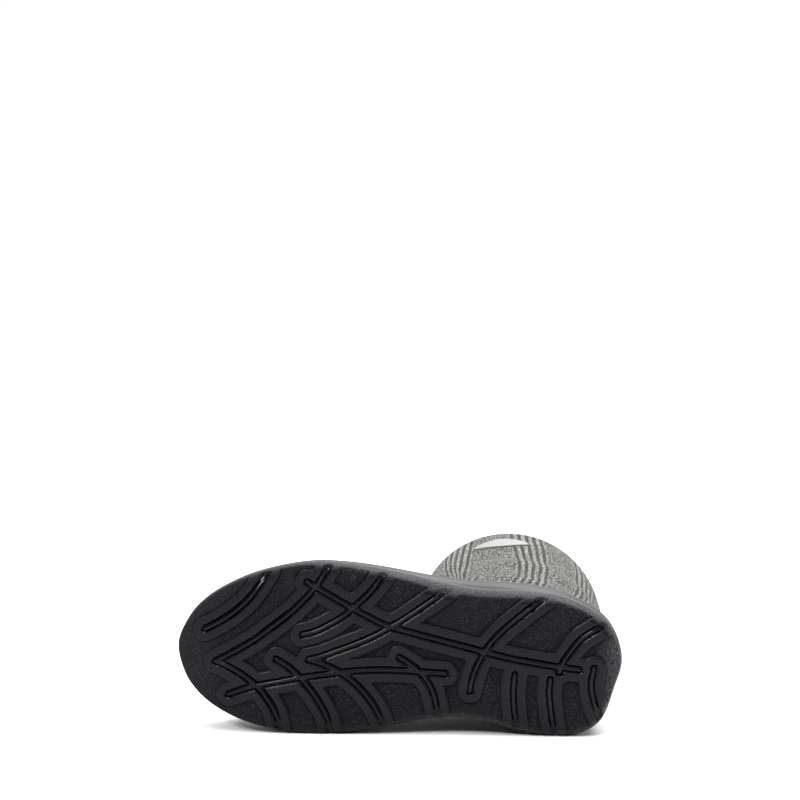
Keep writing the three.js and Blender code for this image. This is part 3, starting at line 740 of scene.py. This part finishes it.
# knitted upper: rows from the sole to the collar
upperSet = {
    "columns": 340, "rows": 160, "wall": 2.8, "gap": 0.3, "seatMiddle": -2,
    # places of back and front, half widths, middle of the shaft, how far it is an oval, its lean
    "table": named(["backX", "backZ", "frontX", "frontZ", "outer", "inner", "midY", "oval",
                    "lain"], [
        (4.6, 48, 277.2, 48.5, 50.6, 50.6, 2, 0, 0), (3.6, 57, 276, 57.5, 49.6, 49.6, 2, 0.03, 0),
        (3.4, 66, 271, 67, 47.6, 47.6, 2.5, 0.08, 0), (4.4, 75, 259, 75.5, 45, 45, 3, 0.16, 0),
        (6.2, 84, 238, 83, 42.4, 42.4, 3.5, 0.28, 0), (8.4, 94, 213, 92, 40.4, 40, 4, 0.42, 0),
        (10.2, 106, 187, 104, 39.2, 38, 4, 0.57, 0),
        (11.4, 120, 164, 119, 39.2, 37, 3.4, 0.72, 0.02),
        (11.6, 136, 146, 137, 40.2, 36.4, 2.2, 0.85, 0.05),
        (11, 155, 135, 158, 42.2, 35.6, 0.4, 0.94, 0.1),
        (9.6, 178, 131, 183, 45.4, 34.2, -2.4, 1, 0.2),
        (7, 208, 131.6, 213, 50.2, 31.4, -6.6, 1, 0.36),
        (3.6, 244, 134.4, 248, 56.4, 27.6, -11.6, 1, 0.55),
        (0.6, 286, 138.6, 289, 63, 23.6, -16.8, 1, 0.76),
        (-1.4, 332, 142.8, 334, 69, 20.2, -21.4, 1, 0.92),
        (-2.4, 371, 145.4, 371.5, 72.6, 18.2, -24, 1, 1),
        (-2.6, 400, 146.4, 400, 73.8, 17.4, -24.9, 1, 1)]),
    "turn": named(["x", "share"], [
        (0, 0), (30, 0.235), (60, 0.455), (90, 0.62), (120, 0.74), (160, 0.85), (200, 0.92),
        (240, 0.967), (283.5, 1)]),
    "middle": named(["x", "y"], [(0, 9), (60, 8), (130, 6.4), (200, 0.2), (283.5, -9)]),
    "middleSpan": 30, "turnSpan": 20, "flatness": 0.45, "skinHalf": 50,
    "ripple": (0.35, 17, 3), "rippleFrom": (90, 60),  # height, length, turns; where it sets in
    "foldsFrom": (55, 30), "foldsTo": (402, 30), "slant": 22,
    # soft folds: height, share of the turn from the back, half height, half turn, depth
    "folds": [(128, 0.86, 9, 0.3, -3.2), (150, 0.8, 10, 0.34, 2.2), (168, 0.9, 9, 0.28, -2.2),
              (112, 0.25, 8, 0.3, -2.0), (134, 0.15, 9, 0.3, 1.6), (190, 0.3, 14, 0.4, -1.4),
              (232, 0.7, 22, 0.5, 1.2), (96, 0.7, 8, 0.25, -1.8), (268, 0.35, 26, 0.4, -1.2)],
    # crown of the collar: share of the wall, height over 400
    "crown": [(0.12, 1.2), (0.36, 2.0), (0.64, 2.0), (0.88, 1.2)], "crownFrom": 400,
    "openRows": 4,  # lowest rows, whose inside is level with the outside
    "insideStep": 2,  # every second row inside
    # lines of the knit in front: places along the collar and share; heights where they set in
    "keptLines": ((78, 98, 124, 144), (0, 1, 1, 0)), "keptFrom": (150, 40),
    "shaftFrom": (96, 30),
}


# rings of the upper's skin, as shares of the foot's outline turning into the shaft's oval
def upperRings(shares):
    def middle(x):
        return softTable(upperSet["middle"], x, "y", upperSet["middleSpan"])

    spot, normal, lip = outlineAt(shares)
    seat = lip * wallSet["seatLip"] - wallSet["seatInset"]
    edge = spot + normal * (seat - upperSet["gap"])[:, None]
    skin = spot + normal * seat[:, None]
    back, front = skin[:, 0].min(), skin[:, 0].max()
    side = np.where(shares <= toeShare, 1.0, -1.0)
    turned = np.clip(softTable(upperSet["turn"], spot[:, 0], "share", upperSet["turnSpan"]), 0, 1)
    turned = (turned - turned.min()) / (turned.max() - turned.min())
    angle = np.arccos(1 - 2 * turned)
    footAlong = (skin[:, 0] - back) / (front - back)
    footAcross = (skin[:, 1] - middle(skin[:, 0])) / upperSet["skinHalf"]
    rim = rimAt(edge[:, 0]) + riseAt(edge[:, 0])
    lifts = (upperSet["gap"] - wallSet["seatDepth"], upperSet["seatMiddle"], upperSet["gap"])
    rings = [np.column_stack([edge, rim + lift]) for lift in lifts]
    for row in upperSet["table"]:
        lean = math.radians(restSet["roll"]) * row["lain"]
        length = row["frontX"] - row["backX"]
        half = np.where(side > 0, row["outer"], row["inner"])
        flatter = np.where(side > 0, 1, 1 - upperSet["flatness"] * row["lain"])
        shaftAcross = side * np.abs(np.sin(angle)) ** flatter
        along = footAlong * (1 - row["oval"]) + (1 - np.cos(angle)) / 2 * row["oval"]
        x = row["backX"] + length * along
        footY = middle(x) + footAcross * half
        shaftY = row["midY"] + shaftAcross * half - (along - 0.5) * length * math.tan(lean)
        rings.append(np.column_stack([x + shaftAcross * half * math.sin(lean) * row["oval"],
                                      footY + (shaftY - footY) * row["oval"],
                                      row["backZ"] + (row["frontZ"] - row["backZ"]) * along]))
    return np.array(rings), angle / math.pi, side


# lets what would sink under the floor lie flat on it, a little above it
def settleOnFloor(points, lift=0.1):
    over = rollSin * points[..., 0] + rollCos * points[..., 1] + restSet["lift"]
    return points + np.maximum(0, lift - over)[..., None] * np.array([rollSin, rollCos, 0])


# rows between key rings, by a cubic with slopes from the neighbouring rings, and the way up to each
def betweenRings(keys, count):
    gap = np.linalg.norm(np.diff(keys, axis=0), axis=2).mean(1)
    run = sumsOf(gap)
    slope = np.empty_like(keys)
    h = gap[:, None, None]
    chord = np.diff(keys, axis=0) / h
    slope[1:-1] = (chord[:-1] * h[1:] + chord[1:] * h[:-1]) / (h[1:] + h[:-1])
    slope[0], slope[-1] = chord[0], chord[-1]
    at = np.unique(np.concatenate([np.linspace(0, run[-1], count), run]))
    k = np.clip(np.searchsorted(run, at, side="right") - 1, 0, len(gap) - 1)
    t = ((at - run[k]) / gap[k])[:, None, None]
    g = gap[k][:, None, None]
    return ((2 * t ** 3 - 3 * t ** 2 + 1) * keys[k] + (t ** 3 - 2 * t ** 2 + t) * g * slope[k]
            + (3 * t ** 2 - 2 * t ** 3) * keys[k + 1] + (t ** 3 - t ** 2) * g * slope[k + 1]), at


# outward normals of a grid of rings
def ringNormals(rings):
    along = np.roll(rings, -1, 1) - np.roll(rings, 1, 1)
    up = np.gradient(rings, axis=0)
    out = np.cross(up, along)
    return out / np.maximum(np.linalg.norm(out, axis=2), 1e-9)[..., None]


def makeUpper(knit, lining):
    count = upperSet["columns"]
    keys, turn, side = upperRings(np.arange(count) / count)
    outer, run = betweenRings(keys, upperSet["rows"])
    height = outer[..., 2]
    lift = np.zeros(height.shape)
    for up, at, halfUp, halfTurn, depth in upperSet["folds"]:
        away = height - up - (turn - at) * upperSet["slant"] * side
        lift += depth * np.exp(-(away / halfUp) ** 2 - ((turn - at) / halfTurn) ** 2)
    rippleUp, rippleLong, rippleTurns = upperSet["ripple"]
    ripple = rippleUp * np.sin(height / rippleLong + rippleTurns * turn * side)
    lift += ripple * ramp(height, *upperSet["rippleFrom"])
    top, fade = upperSet["foldsTo"]
    lift *= ramp(height, *upperSet["foldsFrom"]) * np.clip((top - height) / fade, 0, 1)
    outer = settleOnFloor(outer + ringNormals(outer) * lift[..., None])
    inner = outer - ringNormals(outer) * upperSet["wall"]
    inner[:upperSet["openRows"], :, 2] = outer[:upperSet["openRows"], :, 2]

    crown = np.stack([outer[-1] * (1 - s) + inner[-1] * s for s, _ in upperSet["crown"]])
    for ring, (_, up) in zip(crown, upperSet["crown"]):
        ring[:, 2] = upperSet["crownFrom"] + up
    inside = inner[::-1][::upperSet["insideStep"]]
    if not np.allclose(inside[-1], inner[0]):
        inside = np.concatenate([inside, inner[:1]])
    rows = np.concatenate([outer, crown, inside])
    faces = ringFaces(np.concatenate([np.arange(len(rows)), [0]]) * count, count)

    collar = outer[-1]
    around = lengthsOf(np.vstack([collar, collar[:1]]))
    crownRun = run[-1] + 1 + np.arange(len(crown))
    insideRun = run[::-1][::upperSet["insideStep"]]
    rowRun = np.concatenate([run, crownRun, insideRun, [0]])[:len(rows)]
    rowRun = np.concatenate([rowRun, [rowRun[-1] + 4]])
    # on the outer side in front the lines keep apart instead of drawing together
    front = collar[:, 0]
    tip = np.argmax(front)
    weight = np.interp(front, *upperSet["keptLines"]) * (np.arange(count) < tip)
    straight = front + (rows[..., 0] - front) * weight * ramp(rows[..., 2], *upperSet["keptFrom"])
    shift = np.interp(straight, front[:tip], around[:tip]) - around[:-1]
    shift = np.concatenate([shift * weight, shift[:, :1] * 0], 1)
    shift = np.vstack([shift, shift[:1]])
    r, c = np.meshgrid(np.arange(len(rows)), np.arange(count), indexing="ij")
    rowAt = np.stack([r, r + 1, r + 1, r], -1)
    columnAt = np.stack([c, c, c + 1, c + 1], -1)
    uv = np.stack([around[columnAt] + shift[rowAt, columnAt], rowRun[rowAt]], -1)
    look = (r.reshape(-1) >= len(outer) + len(crown) // 2).astype(int)
    places = rows.reshape(-1, 3)
    return makePiece("knitUpper", places, [faces], "knit_upper", [knit, lining],
                     faceLook=look, values={"shaft": ramp(places[:, 2], *upperSet["shaftFrom"])},
                     uv=uv.reshape(-1, 2) / 1000)


# knit: mottled yarn; seven groups of five dark lines run up the shaft; metres round the collar
knitSet = {
    "group": 0.3987 / 7, "line": 0.0061, "lines": 5, "start": 0.0305, "soft": 0.0008,
    "wander": (500, 420), "wanderWide": 0.0018,
    "yarn": (860, 230, 860), "fibre": 700, "stitchWide": 0.0022, "stitchHigh": 0.0017,
    "dark": (-0.25, 0.35), "speck": (0.43, 0.57), "yarnShare": 0.85, "lean": 1.1,
}


# in a group: remainder of the distance by the group's width less than the lines' width; the lines
# are the sine of that remainder
def knitPaint():
    paint = Paint("knitCloth")
    across, up, _ = paint.mapUv()
    shaft = paint.attribute("shaft")
    wanderAcross, wanderUp = knitSet["wander"]
    wander = paint.noise(paint.join(across * wanderAcross, up * wanderUp), 1.0, 2, 0.6) - 0.5
    spot = across + wander * knitSet["wanderWide"] - knitSet["start"]
    spot = spot.remainder(knitSet["group"])
    width = knitSet["line"] * knitSet["lines"]
    inGroup = spot.between(0, knitSet["soft"]) * (1 - spot.between(width - knitSet["soft"], width))
    inGroup = inGroup * shaft
    wave = (spot * (2 * math.pi / knitSet["line"]) - math.pi / 2).wave()
    dark = wave.between(*knitSet["dark"])
    yarn = paint.noise(paint.place(knitSet["yarn"]), 1.0, 2, 0.7)
    fibre = paint.noise(paint.place(), knitSet["fibre"], 3, 0.7)
    speck = yarn * knitSet["yarnShare"] + fibre * (1 - knitSet["yarnShare"])
    speck = speck.between(*knitSet["speck"])
    plain = paint.mix(speck, grey(24, 1, -2), grey(106, 0, -3))
    light = paint.mix(speck, grey(62, 1, -2), grey(126, 0, -3))
    deep = paint.mix(speck, grey(9), grey(60, 0, -2))
    tone = paint.mix(inGroup, plain, paint.mix(dark, light, deep))
    column = across * (1 / knitSet["stitchWide"])
    lean = (column.remainder(1.0) - 0.5).size()
    rows = (up * (1 / knitSet["stitchHigh"]) + lean * knitSet["lean"]) * (2 * math.pi)
    loops = rows.wave() * 0.3 + (column * (2 * math.pi)).wave() * 0.5
    bump = paint.bump(loops, 0.4, 0.0004)
    bump = paint.bump(yarn, 0.4, 0.0006, bump)
    return paint.finish(Base_Color=tone, Roughness=0.9, Normal=bump, Specular_IOR_Level=0.12,
                        Sheen_Weight=0.04, Sheen_Roughness=0.5)


# matt pile cloths: noise of the pile and of a cloud over it, greys of both
pileSet = {
    "pileLining": {"pile": (260, 4, 0.65), "cloud": 40, "tones": (92, 150, 120), "clouded": 0.4,
                   "bump": (0.8, 0.0018), "rough": 0.95, "sheen": 0.3},
    "footbedCloth": {"pile": (600, 3, 0.7), "cloud": 30, "tones": (98, 138, 104), "clouded": 0.35,
                     "bump": (0.6, 0.0008), "rough": 0.94, "sheen": 0.2},
}


def pilePaint(name):
    paint = Paint(name)
    settings = pileSet[name]
    dark, light, middle = (grey(level) for level in settings["tones"])
    spot = paint.place()
    pile = paint.noise(spot, *settings["pile"])
    cloud = paint.noise(spot, settings["cloud"], 2, 0.5)
    tone = paint.mix(pile.between(0.3, 0.7), dark, light)
    tone = paint.mix(cloud * settings["clouded"], tone, middle)
    return paint.finish(Base_Color=tone, Roughness=settings["rough"], Specular_IOR_Level=0.2,
                        Normal=paint.bump(pile, *settings["bump"]), Sheen_Weight=settings["sheen"])


makeUpper(knitPaint(), pilePaint("pileLining"))

# insole: cushioned footbed with a rolled edge on the sole's seat
insoleSet = {
    "inset": 10.1, "lift": 0.3, "dish": (1.2, 90), "count": 360, "cross": 16,
    "spine": (36, 228, 7, -0.04),  # middle line: from, to, side place at the heel end, slope
    # rings of the rolled edge: share of the way from the middle line, height
    "rings": [(0.96, 0), (0.985, 0.3), (1, 1.2), (1, 3.2), (0.985, 4.1), (0.96, 4.5), (0.9, 4.5)],
}


def makeInsole(material):
    count = insoleSet["count"]
    shares = np.arange(count) / count
    spot, normal, lip = outlineAt(shares)
    first, last, middle, slope = insoleSet["spine"]
    inner = np.clip(spot[:, 0], first, last)
    spine = np.column_stack([inner, middle + inner * slope])
    edge = spot + normal * (lip * wallSet["seatLip"] - insoleSet["inset"])[:, None]
    rings = []
    for share, up in insoleSet["rings"]:
        flat = spine + (edge - spine) * share
        seat = rimAt(flat[:, 0]) + riseAt(flat[:, 0]) - wallSet["seatDepth"]
        rings.append(np.column_stack([flat, seat + insoleSet["lift"] + up]))
    faces = ringFaces(np.arange(len(rings)) * count, count)
    total, cross = len(rings) * count, insoleSet["cross"]
    under, underFaces = spanRing(rings[0], 0, total, 0, cross, False)
    over, overFaces = spanRing(rings[-1], total - count, total + len(under), 0, cross, True)
    # the heel is dished: deepest on the axis, gone at the edge and towards the toe
    across = np.tile(np.abs(2 * np.arange(1, cross) / cross - 1), len(over) // (cross - 1))
    depth, end = insoleSet["dish"]
    over[:, 2] -= depth * (1 - across ** 2) * np.clip(1 - over[:, 0] / end, 0, 1)
    return makePiece("footbed", np.vstack([*rings, under, over]), [faces, *underFaces, *overFaces],
                     "insole", [material])


footbed = makeInsole(pilePaint("footbedCloth"))

# badge: plain pointed oval of soft rubber on the shaft's outer side
badgeSet = {
    "alongX": 84, "up": 330, "halfWidth": 21, "halfHeight": 20, "corner": 1.333, "count": 96,
    "low": 0.25, "lift": 0.3, "thick": 1.4, "face": 0.32,
    # skin behind it: rings left out, rows, shares of the turn, half widths and points
    "skipped": 3, "rows": 60, "turns": (0.05, 0.95), "windowUp": (24, 33), "windowAlong": (26, 61),
    "slopeSpan": 0.8,
    # its front: share of its size, how far below the top
    "front": [(1, 0.55), (0.99, 0.25), (0.97, 0.06), (0.94, 0), (0.91, 0.05), (0.89, 0.28),
              (0.86, 0.32), (0.6, 0.32), (0.3, 0.32)],
}


# outline: cosine and sine of the angle, raised to the corner's power with the sign kept
def makeBadge(material):
    keys, turn, side = upperRings(np.arange(upperSet["columns"]) / upperSet["columns"])
    rings, _ = betweenRings(keys, badgeSet["rows"])
    first, last = badgeSet["turns"]
    part = rings[badgeSet["skipped"]:, (side > 0) & (turn > first) & (turn < last)]
    halfUp, many = badgeSet["windowUp"]
    heights = np.linspace(badgeSet["up"] - halfUp, badgeSet["up"] + halfUp, many)
    strips = np.array([[np.interp(heights, part[:, k, 2], part[:, k, a]) for a in (0, 1)]
                       for k in range(part.shape[1])])
    halfAlong, many = badgeSet["windowAlong"]
    xs = np.linspace(badgeSet["alongX"] - halfAlong, badgeSet["alongX"] + halfAlong, many)
    ys = np.array([np.interp(xs, strips[:, 0, h], strips[:, 1, h]) for h in range(len(heights))])

    # skin's y over x and height, read between the grid's points
    def skin(x, up):
        i = np.clip((x - xs[0]) / (xs[1] - xs[0]), 0, len(xs) - 1.001)
        j = np.clip((up - heights[0]) / (heights[1] - heights[0]), 0, len(heights) - 1.001)
        a, b = i.astype(int), j.astype(int)
        s, t = i - a, j - b
        return ((ys[b, a] * (1 - s) + ys[b, a + 1] * s) * (1 - t)
                + (ys[b + 1, a] * (1 - s) + ys[b + 1, a + 1] * s) * t)

    count, power = badgeSet["count"], badgeSet["corner"]
    angle = -2 * np.pi * np.arange(count) / count
    along, tall = (np.sign(f(angle)) * np.abs(f(angle)) ** power for f in (np.cos, np.sin))
    low, high = badgeSet["low"], badgeSet["lift"] + badgeSet["thick"]
    layers = [(0.5, low), (1, low)] + [(size, high - down) for size, down in badgeSet["front"]]

    # points on the skin at a share of the badge's size, lifted off it
    def raised(size, lift, along, tall):
        x = badgeSet["alongX"] + badgeSet["halfWidth"] * size * along
        up = badgeSet["up"] - badgeSet["halfHeight"] * size * tall
        span = badgeSet["slopeSpan"]
        tilt = (skin(x + span, up) - skin(x - span, up)) / (2 * span)
        long = np.sqrt(1 + tilt ** 2)
        return np.column_stack([x - tilt / long * lift, skin(x, up) + lift / long, up])

    rings = [raised(size, lift, along, tall) for size, lift in layers]
    none = np.zeros(1)
    middles = [raised(0, lift, none, none) for lift in (low, high - badgeSet["face"])]
    faces = ringFaces(np.arange(len(rings)) * count, count)
    start, total = (len(rings) - 1) * count, len(rings) * count
    here = np.arange(count)
    there = (here + 1) % count
    caps = [np.stack([here, there, here * 0 + total], -1),
            np.stack([there + start, here + start, here * 0 + total + 1], -1)]
    return makePiece("sideBadge", np.vstack(rings + middles), [faces, *caps], "side_badge",
                     [material])


# badge rubber: pale, satin, with a fine even grain
def badgePaint():
    paint = Paint("badgeRubber")
    spot = paint.place()
    grain = paint.noise(spot, 1500, 2, 0.5)
    cloud = paint.noise(spot, 80, 2, 0.5)
    tone = paint.mix(cloud, grey(115), grey(123))
    return paint.finish(Base_Color=tone, Roughness=0.48 + grain * 0.12,
                        Normal=paint.bump(grain, 0.25, 0.0001), Specular_IOR_Level=0.4)


makeBadge(badgePaint())
